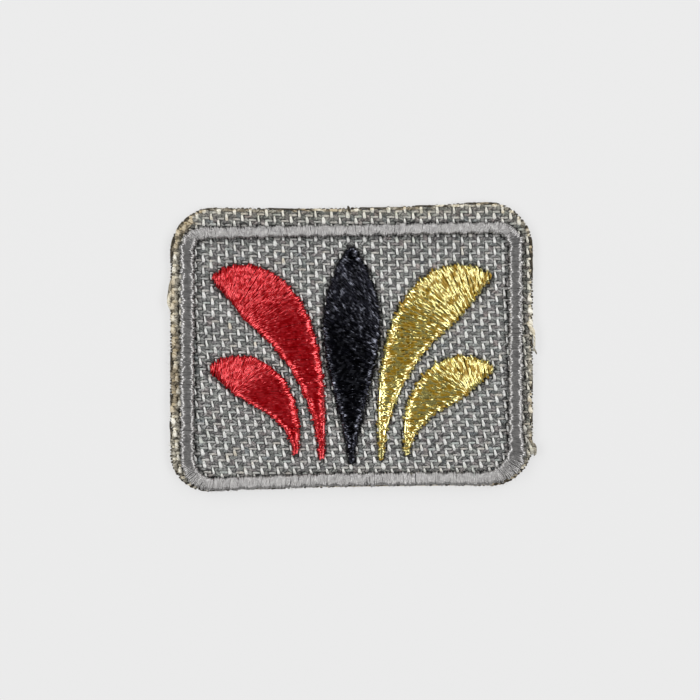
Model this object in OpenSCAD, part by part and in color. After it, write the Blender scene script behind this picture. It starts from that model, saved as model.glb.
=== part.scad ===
// Sew-on embroidered patch: a woven wool ground with a satin-stitched border and a fan of five satin-stitched leaves.
// It lies flat, face up. The origin is the middle of its back face.

/* [Ground cloth] */
// Width from cut edge to cut edge
patch_w = 56; // [46:1:80]
// Height over the lowest and the highest corner
patch_h = 44.7; // [38:0.5:64]
// How much lower the top left corner is than the top right one
top_drop = 0.85; // [0:0.05:2]
// How much higher the bottom right corner is than the bottom left one
bottom_rise = 0.9; // [0:0.05:2]
// Dip of the cut edge between the top corners
top_sag = 0.5; // [0:0.05:1.5]
// Rise of the cut edge between the bottom corners
bottom_sag = 0.28; // [0:0.02:1]
// Thickness of the woven wool
cloth_t = 1.2; // [1:0.1:3]

/* [Border stitching] */
// Width of the satin border on the left and right
border_side_w = 2.05; // [1.5:0.05:3]
// Width of the satin border along the top
border_top_w = 1.7; // [1.3:0.05:3]
// Width of the satin border along the bottom
border_bottom_w = 1.95; // [1.5:0.05:3]
// Bare cloth left outside the border on the left and right
side_margin = 1.6; // [0.8:0.1:3]
// Bare cloth left outside the border along the top
top_margin = 3.1; // [2:0.05:5]
// Bare cloth left outside the border along the bottom
bottom_margin = 0.1; // [0.1:0.05:3]
// Height of the border's crown above the cloth
border_h = 0.6; // [0.3:0.05:1.2]

/* [Leaves] */
// Height of a leaf's crown above the cloth
leaf_h = 0.8; // [0.4:0.05:1.5]
// Width of a leaf's blunt ends
leaf_end_w = 0.8; // [0.4:0.1:2]
// Lowest place of the fan of leaves, below the patch's middle
fan_foot = 18; // [12:0.2:18.4]
// Length of the middle leaf
middle_leaf_l = 33.4; // [20:0.2:34]
// Widest place of the middle leaf
middle_leaf_w = 8.8; // [4:0.1:9]
// How much higher an upper leaf's foot is than the middle leaf's
upper_leaf_step = 0.6; // [0:0.1:2]
// Distance of an upper leaf's foot from the middle line
upper_leaf_foot = 4.6; // [4.6:0.1:6]
// Reach of an upper leaf, from its foot out to its tip
upper_leaf_reach = 16.8; // [12:0.2:17]
// Rise of an upper leaf, from its foot up to its tip
upper_leaf_rise = 28; // [20:0.2:29]
// Widest place of an upper leaf
upper_leaf_w = 8.4; // [4:0.1:8.6]
// How much higher a lower leaf's foot is than the middle leaf's
lower_leaf_step = 1.4; // [0:0.1:2]
// Distance of a lower leaf's foot from the middle line
lower_leaf_foot = 8.6; // [8.6:0.1:10]
// Reach of a lower leaf, from its foot out to its tip
lower_leaf_reach = 13.2; // [8:0.2:13.4]
// Rise of a lower leaf, from its foot up to its tip
lower_leaf_rise = 13.2; // [8:0.2:14]
// Widest place of a lower leaf
lower_leaf_w = 6.6; // [3:0.1:7]

/* [Hidden] */

// Clearance between the cloth and the thread that lies on it
thread_gap = 0.05;
// Height of the thread's outer wall, where a stitch goes down into the cloth
wall_h = 0.18;
// Power of the sine that a leaf's outline follows
fullness = 0.9;
// Steps in a corner arc, along a side, along a leaf and across a band of thread
corner_steps = 10;
side_steps = 6;
leaf_steps = 26;
cross_steps = 8;

// Edges of the patch, with each corner's own height
left_x = -patch_w / 2;
right_x = patch_w / 2;
low_y = -patch_h / 2;
high_y = patch_h / 2;

// Rows: bottom left, bottom right, top right, top left
X = 0; // corner x
Y = 1; // corner y
CLOTH_R = 2; // radius of the cut cloth
OUTER_R = 3; // radius of the border's outer edge
INNER_R = 4; // radius of the border's inner edge
IN_X = 5; // way in from the corner, x
IN_Y = 6; // way in from the corner, y
corners = [
    [left_x, low_y, 5.9, 5.0, 3.2, 1, 1],
    [right_x, low_y + bottom_rise, 6.5, 6.1, 4.2, -1, 1],
    [right_x, high_y, 7.0, 3.5, 2.0, -1, -1],
    [left_x, high_y - top_drop, 6.8, 3.0, 1.6, 1, -1]
];
// How far the bottom, right, top and left side bow inwards
cloth_sags = [bottom_sag, 0, top_sag, 0];
border_sags = [bottom_sag, 0, 0, 0];

// A corner's circle, as [centre, radius], with its corner moved in by a margin
function corner_circle(row, side, top, bottom, r) =
    let (margin_y = row[IN_Y] > 0 ? bottom : top)
    [[row[X] + row[IN_X] * (side + r), row[Y] + row[IN_Y] * (margin_y + r)], r];

cloth_circles = [for (row = corners) corner_circle(row, 0, 0, 0, row[CLOTH_R])];
outer_circles = [for (row = corners) corner_circle(row, side_margin, top_margin, bottom_margin, row[OUTER_R])];
inner_circles = [
    for (row = corners)
    corner_circle(
        row,
        side_margin + border_side_w,
        top_margin + border_top_w,
        bottom_margin + border_bottom_w,
        row[INNER_R]
    )
];

// Angle of the outward normal of the line that touches circle a and then circle b, anticlockwise
function side_angle(a, b) =
    let (way = b[0] - a[0])
    atan2(way[1], way[0]) - acos((a[1] - b[1]) / norm(way));

// The arc of one corner, between the sides that meet it
function corner_arc(before, here, after) =
    let (
        from = side_angle(before, here),
        to = side_angle(here, after),
        turn = (to - from + 720) % 360
    )
    [for (k = [0 : corner_steps]) let (a = from + turn * k / corner_steps) here[0] + here[1] * [cos(a), sin(a)]];

// The points along one side, between its two corner arcs, bowed inwards
function side_run(here, after, sag) =
    let (
        a = side_angle(here, after),
        out = [cos(a), sin(a)],
        p = here[0] + here[1] * out,
        q = after[0] + after[1] * out
    )
    [for (k = [1 : side_steps - 1]) let (t = k / side_steps) p + (q - p) * t - out * sag * 4 * t * (1 - t)];

// A closed outline round four corner circles
function outline(circles, sags) = [
    for (i = [0 : 3])
    let (before = circles[(i + 3) % 4], here = circles[i], after = circles[(i + 1) % 4])
    each concat(corner_arc(before, here, after), side_run(here, after, sags[i]))
];

// Height of a crowned band of thread at u, from -1 at one edge to 1 at the other
function crown(u, h) = wall_h + (h - wall_h) * sqrt(1 - u * u);

// One cross-section, from its left to its right edge over the crown, then back along the flat bottom
function section(p, q, h) =
    let (z = cloth_t + thread_gap)
    concat(
        [for (k = [0 : cross_steps]) let (t = k / cross_steps, m = p + (q - p) * t) [m[0], m[1], z + crown(2 * t - 1, h)]],
        [[q[0], q[1], z], [p[0], p[1], z]]
    );

// A solid through cross-sections, closed into a loop or capped at both ends
module band(sections, loop) {
    n = len(sections);
    m = len(sections[0]);
    runs = loop ? n : n - 1;
    sides = [
        for (i = [0 : runs - 1], k = [0 : m - 1])
        let (j = (i + 1) % n, l = (k + 1) % m)
        each [[i * m + k, j * m + k, j * m + l], [i * m + k, j * m + l, i * m + l]]
    ];
    caps = loop ? [] : [[for (k = [0 : m - 1]) k], [for (k = [m - 1 : -1 : 0]) (n - 1) * m + k]];
    polyhedron(points = [for (s = sections) each s], faces = concat(sides, caps));
}

// Rows: one leaf each
FOOT_X = 0; // foot x
FOOT_Y = 1; // foot y
REACH = 2; // way out from foot to tip
RISE = 3; // way up from foot to tip
WIDE = 4; // widest place
LATE = 5; // 1 has the widest place halfway along, more has it nearer the tip
middle_leaf = [0, -fan_foot, 0, middle_leaf_l, middle_leaf_w, 1.5];
upper_leaf = [upper_leaf_foot, upper_leaf_step - fan_foot, upper_leaf_reach, upper_leaf_rise, upper_leaf_w, 1.7];
lower_leaf = [lower_leaf_foot, lower_leaf_step - fan_foot, lower_leaf_reach, lower_leaf_rise, lower_leaf_w, 1.6];

// Half width of a leaf at t along it, blunt at both ends and a little fuller than a sine
function leaf_half(leaf, t) =
    leaf_end_w / 2 + (leaf[WIDE] - leaf_end_w) / 2 * pow(sin(180 * pow(t, leaf[LATE])), fullness);

// Place and direction along a leaf's spine: straight up, or a quarter of an ellipse that leaves its foot upright
function spine(leaf, t) =
    let (foot = [leaf[FOOT_X], leaf[FOOT_Y]], a = 90 * t, way = [leaf[REACH] * sin(a), leaf[RISE] * cos(a)])
    leaf[REACH] == 0
    ? [foot + [0, leaf[RISE] * t], [0, 1]]
    : [foot + [leaf[REACH] * (1 - cos(a)), leaf[RISE] * sin(a)], way / norm(way)];

// Cross-section of a leaf at t, square to its spine, its crown lower where it is narrow
function leaf_section(leaf, t) =
    let (
        at = spine(leaf, t),
        half = leaf_half(leaf, t),
        left = [-at[1][1], at[1][0]],
        h = wall_h + (leaf_h - wall_h) * sqrt(2 * half / middle_leaf_w)
    )
    section(at[0] + left * half, at[0] - left * half, h);

module leaf(row) {
    band([for (k = [0 : leaf_steps]) leaf_section(row, k / leaf_steps)], false);
}

module ground_cloth() {
    color("dimgray")
    linear_extrude(height = cloth_t)
    polygon(outline(cloth_circles, cloth_sags));
}

module border_stitching() {
    outer = outline(outer_circles, border_sags);
    inner = outline(inner_circles, border_sags);
    color("silver")
    band([for (i = [0 : len(outer) - 1]) section(inner[i], outer[i], border_h)], true);
}

module navy_leaf() {
    color("midnightblue")
    leaf(middle_leaf);
}

module red_upper_leaf() {
    color("crimson")
    mirror([1, 0, 0])
    leaf(upper_leaf);
}

module red_lower_leaf() {
    color("crimson")
    mirror([1, 0, 0])
    leaf(lower_leaf);
}

module gold_upper_leaf() {
    color("goldenrod")
    leaf(upper_leaf);
}

module gold_lower_leaf() {
    color("goldenrod")
    leaf(lower_leaf);
}

ground_cloth();
border_stitching();
navy_leaf();
red_upper_leaf();
red_lower_leaf();
gold_upper_leaf();
gold_lower_leaf();
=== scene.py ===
import math
import bpy
import numpy as np
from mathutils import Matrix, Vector


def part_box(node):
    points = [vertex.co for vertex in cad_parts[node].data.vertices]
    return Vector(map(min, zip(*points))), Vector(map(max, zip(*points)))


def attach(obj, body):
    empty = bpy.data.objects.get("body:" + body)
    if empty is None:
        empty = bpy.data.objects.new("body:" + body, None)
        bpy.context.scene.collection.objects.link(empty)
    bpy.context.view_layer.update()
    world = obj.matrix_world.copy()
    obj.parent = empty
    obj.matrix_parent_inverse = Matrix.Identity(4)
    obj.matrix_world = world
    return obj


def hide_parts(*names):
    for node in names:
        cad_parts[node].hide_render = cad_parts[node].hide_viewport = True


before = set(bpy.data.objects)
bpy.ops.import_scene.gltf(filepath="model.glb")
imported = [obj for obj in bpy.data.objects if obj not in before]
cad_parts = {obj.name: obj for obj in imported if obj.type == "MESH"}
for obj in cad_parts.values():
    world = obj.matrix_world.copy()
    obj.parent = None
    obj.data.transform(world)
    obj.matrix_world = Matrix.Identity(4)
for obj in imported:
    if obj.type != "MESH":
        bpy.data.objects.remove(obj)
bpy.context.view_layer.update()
mm = 0.001  # sizes and places below are in millimetres, and each mesh is made in metres
dice = np.random.default_rng(11)
print("frame loaded")


# Camera, straight above, with the photo's framing
cameraLook = {
    "x": -0.23,
    "y": -0.5,
    "aimHeight": 1.0,
    "distance": 600.0,
    "fieldWide": 108.2,  # what the picture shows from side to side
    "sensor": 36.0,
    "nearest": 10.0,
    "farthest": 20000.0,
}


def placeCamera():
    look = cameraLook
    place = Vector((look["x"], look["y"], look["aimHeight"] + look["distance"])) * mm
    bpy.ops.object.camera_add(location=place, rotation=(0, 0, 0))
    camera = bpy.context.object
    camera.name = "camera"
    camera.data.sensor_width = look["sensor"]
    camera.data.lens = look["sensor"] * look["distance"] / look["fieldWide"]
    camera.data.clip_start = look["nearest"] * mm
    camera.data.clip_end = look["farthest"] * mm
    bpy.context.scene.camera = camera


# Studio: two long soft boxes to the left and right, a dim even surround and a pale floor
studio = {
    "boxRise": 40.0,  # degrees above the floor
    "boxDistance": 700.0,
    "boxForward": 250.0,
    "boxLong": 1400.0,
    "boxWide": 330.0,
    "boxPower": 6.35,  # watts
    "surround": 0.04,
    "floorSize": 6000.0,
    "floorColour": (0.16, 0.16, 0.16),
    "floorGlow": 0.667,
    "floorRoughness": 0.9,
}


def addSoftBox(name, side):
    rise = math.radians(studio["boxRise"])
    away = Vector((side * math.cos(rise), 0, math.sin(rise)))
    place = away * studio["boxDistance"] + Vector((0, studio["boxForward"], 0))
    bpy.ops.object.light_add(type="AREA", location=place * mm)
    box = bpy.context.object
    box.name = name
    box.rotation_euler = away.to_track_quat("Z", "Y").to_euler()
    box.data.shape = "RECTANGLE"
    box.data.size = studio["boxLong"] * mm
    box.data.size_y = studio["boxWide"] * mm
    box.data.energy = studio["boxPower"]


def buildStudio():
    addSoftBox("softBoxLeft", -1)
    addSoftBox("softBoxRight", 1)
    world = bpy.data.worlds.new("surround")
    world.use_nodes = True
    world.node_tree.nodes["Background"].inputs["Color"].default_value = (1, 1, 1, 1)
    world.node_tree.nodes["Background"].inputs["Strength"].default_value = studio["surround"]
    bpy.context.scene.world = world
    bpy.context.scene.view_settings.view_transform = "Standard"
    bpy.ops.mesh.primitive_plane_add(size=studio["floorSize"] * mm, location=(0, 0, 0))
    floor = bpy.context.object
    floor.name = "floor"
    material, tree, shader = newMaterial("paleFloor")
    shader.inputs["Base Color"].default_value = (*studio["floorColour"], 1)
    shader.inputs["Roughness"].default_value = studio["floorRoughness"]
    shader.inputs["Specular IOR Level"].default_value = 0.0
    shader.inputs["Emission Color"].default_value = (1, 1, 1, 1)
    shader.inputs["Emission Strength"].default_value = studio["floorGlow"]
    floor.data.materials.append(material)


# Node trees
def newMaterial(name):
    material = bpy.data.materials.new(name)
    material.use_nodes = True
    tree = material.node_tree
    tree.nodes.clear()
    output = tree.nodes.new("ShaderNodeOutputMaterial")
    shader = tree.nodes.new("ShaderNodeBsdfPrincipled")
    tree.links.new(shader.outputs["BSDF"], output.inputs["Surface"])
    return material, tree, shader


def addNode(tree, kind, inputs, **settings):
    node = tree.nodes.new("ShaderNode" + kind)
    for key, value in settings.items():
        setattr(node, key, value)
    for key, value in inputs.items():
        if isinstance(value, bpy.types.NodeSocket):
            tree.links.new(value, node.inputs[key])
        else:
            node.inputs[key].default_value = value
    return node


def maths(tree, operation, *values):
    return addNode(tree, "Math", dict(enumerate(values)), operation=operation).outputs[0]


def times(tree, value, factor):
    return maths(tree, "MULTIPLY", value, factor)


def rampOf(tree, value, stops):
    ramp = addNode(tree, "ValToRGB", {"Fac": value})
    while len(ramp.color_ramp.elements) < len(stops):
        ramp.color_ramp.elements.new(0.5)
    for element, (place, colour) in zip(ramp.color_ramp.elements, stops):
        element.position = place
        element.color = (*colour, 1)
    return ramp.outputs["Color"]


def mixed(tree, share, a, b, blend="MIX"):
    node = tree.nodes.new("ShaderNodeMix")
    node.data_type = "RGBA"
    node.blend_type = blend
    sockets = (node.inputs[0], node.inputs[6], node.inputs[7])  # the factor and the two colours
    for socket, value in zip(sockets, (share, a, b)):
        if isinstance(value, bpy.types.NodeSocket):
            tree.links.new(value, socket)
        else:
            socket.default_value = value
    return node.outputs[2]


def ranged(tree, value, low, high):
    return addNode(
        tree,
        "MapRange",
        {"Value": value, "From Min": low, "From Max": high},
        interpolation_type="SMOOTHSTEP",
    ).outputs[0]


# What every strand carries: how far along it, how far round it, its own number and its singeing; on the
# stitches' underlay the same value is a mark for painted shade
def strandValues(tree):
    uv = addNode(tree, "UVMap", {}, uv_map="threadUV").outputs["UV"]
    split = addNode(tree, "SeparateXYZ", {"Vector": uv})
    strand = addNode(tree, "Attribute", {}, attribute_name="strand").outputs["Fac"]
    singe = addNode(tree, "Attribute", {}, attribute_name="singe").outputs["Fac"]
    return split.outputs["X"], split.outputs["Y"], strand, singe


def noiseAt(tree, x, y, z, detail=2.0, roughness=0.55):
    place = addNode(tree, "CombineXYZ", {"X": x, "Y": y, "Z": z}).outputs[0]
    settings = {"Vector": place, "Scale": 1.0, "Detail": detail, "Roughness": roughness}
    return addNode(tree, "TexNoise", settings).outputs["Fac"]


# Links a material's colour and bump, and sets what is the same all over it
def dress(tree, shader, colour, bump, settings):
    tree.links.new(colour, shader.inputs["Base Color"])
    tree.links.new(bump.outputs["Normal"], shader.inputs["Normal"])
    for socket, value in settings.items():
        shader.inputs[socket].default_value = value


seedSpread = 90.0  # how far apart the noise of two strands lies


# Wool yarn: fibres that wind round it, a melange of shades, and ends singed by the hot cut
woolLook = {
    "fibreTurns": 0.9,  # turns round the yarn in a millimetre
    "fibreFineness": (2.0, 5.0),  # along the yarn and round it
    "fibreRoughness": 0.65,
    "hairFineness": 19.0,
    "hairShare": 0.3,  # how much the finer hairs change the fibres
    "tintFineness": 0.35,
    "roughness": 0.9,
    "sheen": 0.15,
    "specular": 0.2,
    "bumpDeep": 0.06,
    "bumpStrength": 0.8,
    "warmed": (1.0, 0.965, 0.87),
    "warmRange": (0.0, 0.4),  # of singeing
    "singeRange": (0.42, 0.62),  # of singeing
    "scorched": (0.7, 0.63, 0.53),
    "scorchFineness": 170.0,
    "scorchBySinge": 0.3,
    "scorchRange": (0.64, 0.82),  # of singeing and noise together
    "burnt": (0.05, 0.04, 0.026),
    "burntByFibre": 0.25,
    "burntRange": (1.03, 1.13),  # of singeing and fibre together
}
greyYarn = {
    "fibres": [(0.32, (0.015, 0.015, 0.016)), (0.48, (0.12, 0.12, 0.122)), (0.66, (0.46, 0.455, 0.45))],
    "tints": [
        (0.3, (0.9, 0.98, 1.02)),
        (0.42, (0.97, 1.02, 0.96)),
        (0.55, (1.0, 0.99, 0.98)),
        (0.7, (1.1, 0.98, 0.95)),
    ],
    "singed": [(0.35, (0.05, 0.045, 0.034)), (0.5, (0.29, 0.265, 0.21)), (0.66, (0.66, 0.62, 0.52))],
}
lightYarn = {
    "fibres": [(0.25, (0.36, 0.36, 0.35)), (0.45, (0.74, 0.74, 0.72)), (0.6, (0.9, 0.9, 0.88))],
    "tints": [
        (0.3, (0.84, 0.87, 0.82)),
        (0.45, (1.0, 1.0, 1.0)),
        (0.6, (1.0, 1.0, 1.0)),
        (0.72, (0.92, 0.85, 0.72)),
    ],
    "singed": [(0.34, (0.32, 0.262, 0.17)), (0.43, (0.8, 0.745, 0.6)), (0.56, (0.98, 0.95, 0.85))],
}
# The light weft: the light yarn again with darker fibres, as painted shade for yarns that run towards the
# side soft boxes
lightWeftYarnPaintedShade = {
    "fibres": [(0.25, (0.15, 0.15, 0.147)), (0.45, (0.38, 0.38, 0.37)), (0.65, (0.66, 0.655, 0.64))],
    "tints": [(0.32, (0.9, 0.97, 0.95)), (0.48, (1.0, 1.0, 1.0)), (0.68, (1.05, 0.99, 0.92))],
    "singed": [(0.34, (0.24, 0.18, 0.1)), (0.45, (0.68, 0.61, 0.45)), (0.58, (0.9, 0.86, 0.73))],
}


def woolMaterial(name, yarn):
    look = woolLook
    material, tree, shader = newMaterial(name)
    along, around, strand, singe = strandValues(tree)
    seed = times(tree, strand, seedSpread)
    winding = maths(tree, "MULTIPLY_ADD", along, look["fibreTurns"], around)
    place = [times(tree, *pair) for pair in zip((along, winding), look["fibreFineness"])]
    fibre = noiseAt(tree, *place, seed, 3.0, look["fibreRoughness"])
    hair = noiseAt(tree, along, times(tree, winding, look["hairFineness"]), seed)
    hair = maths(tree, "MULTIPLY_ADD", hair, look["hairShare"], -look["hairShare"] / 2)
    fibre = maths(tree, "ADD", fibre, hair)
    tint = noiseAt(tree, times(tree, along, look["tintFineness"]), 0.0, seed)
    tint = rampOf(tree, tint, yarn["tints"])
    colour = mixed(tree, 1.0, rampOf(tree, fibre, yarn["fibres"]), tint, "MULTIPLY")
    warm = ranged(tree, singe, *look["warmRange"])
    colour = mixed(tree, warm, colour, (*look["warmed"], 1), "MULTIPLY")
    # Singed near the cut, with darker scorched patches, and burnt at the cut itself
    patches = addNode(tree, "TexNoise", {
        "Vector": addNode(tree, "TexCoord", {}).outputs["Object"],
        "Scale": look["scorchFineness"],
        "Detail": 2.0,
    }).outputs["Fac"]
    scorch = maths(tree, "MULTIPLY_ADD", singe, look["scorchBySinge"], patches)
    scorch = ranged(tree, scorch, *look["scorchRange"])
    singed = mixed(tree, scorch, rampOf(tree, fibre, yarn["singed"]), (*look["scorched"], 1), "MULTIPLY")
    colour = mixed(tree, ranged(tree, singe, *look["singeRange"]), colour, singed)
    burnt = maths(tree, "MULTIPLY_ADD", fibre, look["burntByFibre"], singe)
    burnt = ranged(tree, burnt, *look["burntRange"])
    colour = mixed(tree, burnt, colour, (*look["burnt"], 1))
    bump = addNode(tree, "Bump", {
        "Height": fibre,
        "Strength": look["bumpStrength"],
        "Distance": look["bumpDeep"] * mm,
    })
    dress(tree, shader, colour, bump, {
        "Roughness": look["roughness"],
        "Sheen Weight": look["sheen"],
        "Specular IOR Level": look["specular"],
    })
    return material


# Embroidery thread: two plies of fine filaments, glossy or wrapped in metal foil
# Each thread's dark colour lies between its strokes and its light colour in them; the light colour is partly
# a painted highlight
threadLooks = {
    "border_thread": {
        "dark": (0.37, 0.358, 0.354),
        "light": (0.598, 0.588, 0.578),
        "metallic": (0.72, 0.72),
        "gloss": (0.0, 0.0),
        "strokeShare": 0.0,
        "strokeRange": (0.4, 0.6),
        "strokeFineness": 1.0,
        "ior": 1.2,
        "roughness": 0.4,
        "anisotropy": 0.85,
        "glossRoughness": 0.2,
        "glossIor": 1.5,
        "crinkle": 0.015,
        "glints": 0.4,
        "uneven": 0.25,
    },
    "navy_thread": {
        "dark": (0.005, 0.005, 0.01),
        "light": (0.26, 0.27, 0.33),
        "metallic": (0.85, 1.0),
        "gloss": (0.0, 0.25),
        "strokeShare": 0.92,
        "strokeRange": (0.48, 0.72),
        "strokeFineness": 1.2,
        "ior": 1.3,
        "roughness": 0.3,
        "anisotropy": 0.85,
        "glossRoughness": 0.2,
        "glossIor": 1.5,
        "crinkle": 0.03,
        "glints": 1.0,
        "uneven": 0.75,
    },
    "red_thread": {
        "dark": (0.36, 0.0005, 0.003),
        "light": (0.89, 0.005, 0.018),
        "metallic": (0.5, 0.75),
        "gloss": (0.06, 0.9),
        "strokeShare": 0.85,
        "strokeRange": (0.4, 0.6),
        "strokeFineness": 1.3,
        "ior": 1.15,
        "roughness": 0.34,
        "anisotropy": 0.85,
        "glossRoughness": 0.26,
        "glossIor": 2.0,
        "crinkle": 0.015,
        "glints": 1.2,
        "uneven": 0.03,
    },
    "gold_thread": {
        "dark": (0.36, 0.21, 0.01),
        "light": (1.0, 0.89, 0.28),
        "metallic": (0.3, 0.88),
        "gloss": (0.0, 1.0),
        "strokeShare": 0.92,
        "strokeRange": (0.42, 0.53),
        "strokeFineness": 0.75,
        "ior": 1.5,
        "roughness": 0.21,
        "anisotropy": 0.5,
        "glossRoughness": 0.16,
        "glossIor": 2.5,
        "crinkle": 0.006,
        "glints": 0.8,
        "uneven": 0.03,
    },
}
threadMake = {
    "twist": 2.2,  # length of one turn of the two plies
    "round": 1.1,  # length once round a thread
    "filamentFineness": (1.4, 9.0),  # along the thread and round it
    "filamentRange": (0.3, 0.7),
    "filamentBump": 0.3,  # beside that of the plies
    # where the painted shade in the grooves between the plies fades out
    "plyRange": (0.0, 0.5),
    "shadeFineness": 0.8,
    "shadeRange": (0.68, 0.32),
    "leanFineness": 1.1,
    "bumpStrength": 0.8,
    "glossTurn": 0.25,  # a quarter turn, across the tangent
}
noiseRows = {"shade": 0.0, "lean": 3.0, "glossStrokesAndPaintedHighlight": 7.0}  # one for each noise that runs along a thread


def threadMaterial(name, look):
    make = threadMake
    material, tree, shader = newMaterial(name)
    along, around, strand, singe = strandValues(tree)
    seed = times(tree, strand, seedSpread)

    def noiseAlong(fineness, row, detail=1.0):
        return noiseAt(tree, times(tree, along, fineness), row, seed, detail)

    turns = maths(tree, "MULTIPLY_ADD", along, -1 / make["twist"], maths(tree, "SUBTRACT", around, strand))
    fine, finer = make["filamentFineness"]
    filament = noiseAlong(fine, times(tree, turns, finer), 3.0)
    ply = maths(tree, "ABSOLUTE", maths(tree, "SINE", times(tree, turns, 2 * math.pi)))
    # The colour varies at random along the filaments, and is darker in the grooves between the plies:
    # painted shade
    toneAndPaintedLight = ranged(tree, filament, *make["filamentRange"])
    toneAndPaintedLight = times(tree, toneAndPaintedLight, ranged(tree, ply, *make["plyRange"]))
    # The gloss comes and goes in short strokes along each stitch; the colour is painted lighter in the same
    # strokes, a painted highlight beside the real change of metallic and coat
    glossStrokesAndPaintedHighlight = ranged(tree, noiseAlong(look["strokeFineness"], noiseRows["glossStrokesAndPaintedHighlight"]), *look["strokeRange"])
    glossStrokesAndPaintedHighlight = times(tree, glossStrokesAndPaintedHighlight, look["strokeShare"])
    toneAndPaintedLight = maths(tree, "MULTIPLY_ADD", toneAndPaintedLight, 1 - look["strokeShare"], glossStrokesAndPaintedHighlight)
    colour = mixed(tree, toneAndPaintedLight, (*look["dark"], 1), (*look["light"], 1))
    shade = ranged(tree, noiseAlong(make["shadeFineness"], noiseRows["shade"]), *make["shadeRange"])
    shade = times(tree, shade, look["uneven"])
    # The underlay, marked with 1, is darkened at least by the underlay's shade: painted shade under and
    # between the top stitches
    shade = maths(tree, "MAXIMUM", shade, times(tree, singe, underlay["shade"]))
    colour = mixed(tree, shade, colour, (0, 0, 0, 1))
    # Each stitch leans a little to one side and then the other along its way, which makes its glints
    lean = maths(tree, "SUBTRACT", noiseAlong(make["leanFineness"], noiseRows["lean"]), 0.5)
    lean = times(tree, lean, look["glints"])
    lean = times(tree, lean, maths(tree, "SUBTRACT", around, 0.5))
    leaning = addNode(tree, "Bump", {"Height": lean, "Strength": 1.0, "Distance": make["round"] * mm})
    bump = addNode(tree, "Bump", {
        "Height": maths(tree, "MULTIPLY_ADD", filament, make["filamentBump"], ply),
        "Strength": make["bumpStrength"],
        "Distance": look["crinkle"] * mm,
        "Normal": leaning.outputs["Normal"],
    })
    dress(tree, shader, colour, bump, {
        "Metallic": look["metallic"][1],
        "Coat Weight": look["gloss"][1],
        "Roughness": look["roughness"],
        "Coat Roughness": look["glossRoughness"],
        "Coat IOR": look["glossIor"],
        "IOR": look["ior"],
        "Anisotropic": look["anisotropy"],
        "Anisotropic Rotation": make["glossTurn"],
    })
    for part, socket in (("metallic", "Metallic"), ("gloss", "Coat Weight")):
        least, most = look[part]
        if least != most:
            tree.links.new(maths(tree, "MULTIPLY_ADD", toneAndPaintedLight, most - least, least), shader.inputs[socket])
    tangent = addNode(tree, "Tangent", {}, direction_type="UV_MAP", uv_map="threadUV")
    tree.links.new(tangent.outputs["Tangent"], shader.inputs["Tangent"])
    tree.links.new(bump.outputs["Normal"], shader.inputs["Coat Normal"])
    return material


feltLook = {
    "fineness": 2600.0,
    "fibreRoughness": 0.6,
    "colourRange": (0.3, 0.7),
    "bumpDeep": 0.05,
    "bumpStrength": 0.6,
    "roughness": 0.9,
    "specular": 0.2,
}


def feltMaterial(name, colours):
    look = feltLook
    material, tree, shader = newMaterial(name)
    fibre = addNode(tree, "TexNoise", {
        "Vector": addNode(tree, "TexCoord", {}).outputs["Object"],
        "Scale": look["fineness"],
        "Detail": 3.0,
        "Roughness": look["fibreRoughness"],
    }).outputs["Fac"]
    bump = addNode(tree, "Bump", {
        "Height": fibre,
        "Strength": look["bumpStrength"],
        "Distance": look["bumpDeep"] * mm,
    })
    dress(tree, shader, rampOf(tree, fibre, list(zip(look["colourRange"], colours))), bump, {
        "Roughness": look["roughness"],
        "Specular IOR Level": look["specular"],
    })
    return material


# Strands: each is a path with its half width, half height, turn, roll and singeing at every ring
bakeLayout = {
    "alongMargin": 0.03,
    "roundMargin": 0.06,
    "strandsHigh": 0.9,  # rows of strands take the lower part, and the underlay the strip above
    "stripMargin": 0.01,
}


def distanceAlong(path):
    return np.r_[0, np.cumsum(np.linalg.norm(np.diff(path, axis=0), axis=1))]


def ringsOf(strand, angle):
    # Ellipses about the path, with the strand's own half width and half height
    path = strand["path"]
    count = len(path)
    way = np.gradient(path, axis=0)
    way /= np.linalg.norm(way, axis=1)[:, None]
    if "heading" in strand:
        heading = np.tile(strand["heading"], (count, 1))
    else:
        heading = way[:, :2] / np.linalg.norm(way[:, :2], axis=1)[:, None]
    level = np.stack([-heading[:, 1], heading[:, 0], np.zeros(count)], 1)
    above = np.cross(way, level)
    roll = strand.get("roll", np.zeros(count))[:, None]
    across = level * np.cos(roll) + above * np.sin(roll)
    up = above * np.cos(roll) - level * np.sin(roll)
    wide = strand["wide"][:, None]
    high = strand["high"][:, None]
    turned = angle - strand.get("turn", np.zeros(count))[:, None]
    radius = wide * high / np.sqrt((high * np.cos(turned)) ** 2 + (wide * np.sin(turned)) ** 2)
    ring = across[:, None] * np.cos(angle)[:, None] + up[:, None] * np.sin(angle)[:, None]
    return (path[:, None] + ring * radius[:, :, None]).reshape(-1, 3)


def uvOf(along, sides):
    # How far along and how far round, at each corner of each face, with the two ends' faces last
    side = np.arange(sides)
    u = np.empty((len(along) - 1, sides, 4))
    v = np.empty((len(along) - 1, sides, 4))
    u[:, :, :2] = along[:-1, None, None]
    u[:, :, 2:] = along[1:, None, None]
    v[:, :, [0, 3]] = (side / sides)[:, None]
    v[:, :, [1, 2]] = ((side + 1) / sides)[:, None]
    u = np.r_[u.ravel(), np.full(sides, along[0]), np.full(sides, along[-1])]
    v = np.r_[v.ravel(), side[::-1] / sides, side / sides]
    return u, v


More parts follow.
